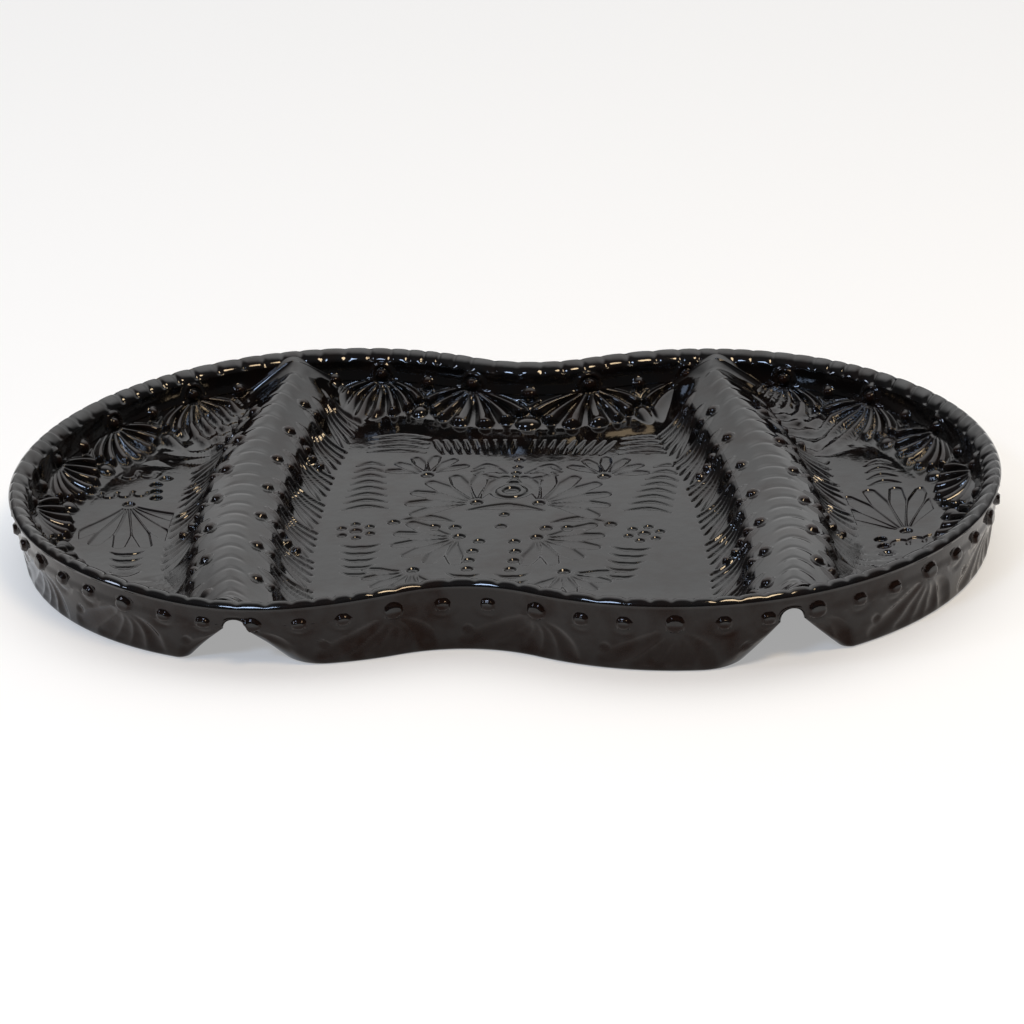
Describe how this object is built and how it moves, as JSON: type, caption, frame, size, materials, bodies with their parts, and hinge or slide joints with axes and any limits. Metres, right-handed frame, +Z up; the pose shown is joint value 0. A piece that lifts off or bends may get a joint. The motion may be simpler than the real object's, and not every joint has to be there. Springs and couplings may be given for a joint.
{
  "type": "three-part olive dish",
  "caption": "Low waisted serving dish with round ends, split into trays by hollow rope-crested dividers, in black glazed stoneware with relief ornament.",
  "frame": {"origin": "centre of the outline, on the table", "axes": "+X along the dish's length, +Y to its back, +Z up"},
  "size_m": [0.28, 0.175, 0.022],
  "materials": {
    "black_glaze": "glossy black glaze over stoneware"
  },
  "bodies": {
    "root": {"left_tray": "black_glaze", "middle_tray": "black_glaze", "right_tray": "black_glaze", "left_crest": "black_glaze", "right_crest": "black_glaze", "rim_band": "black_glaze"}
  },
  "joints": []
}
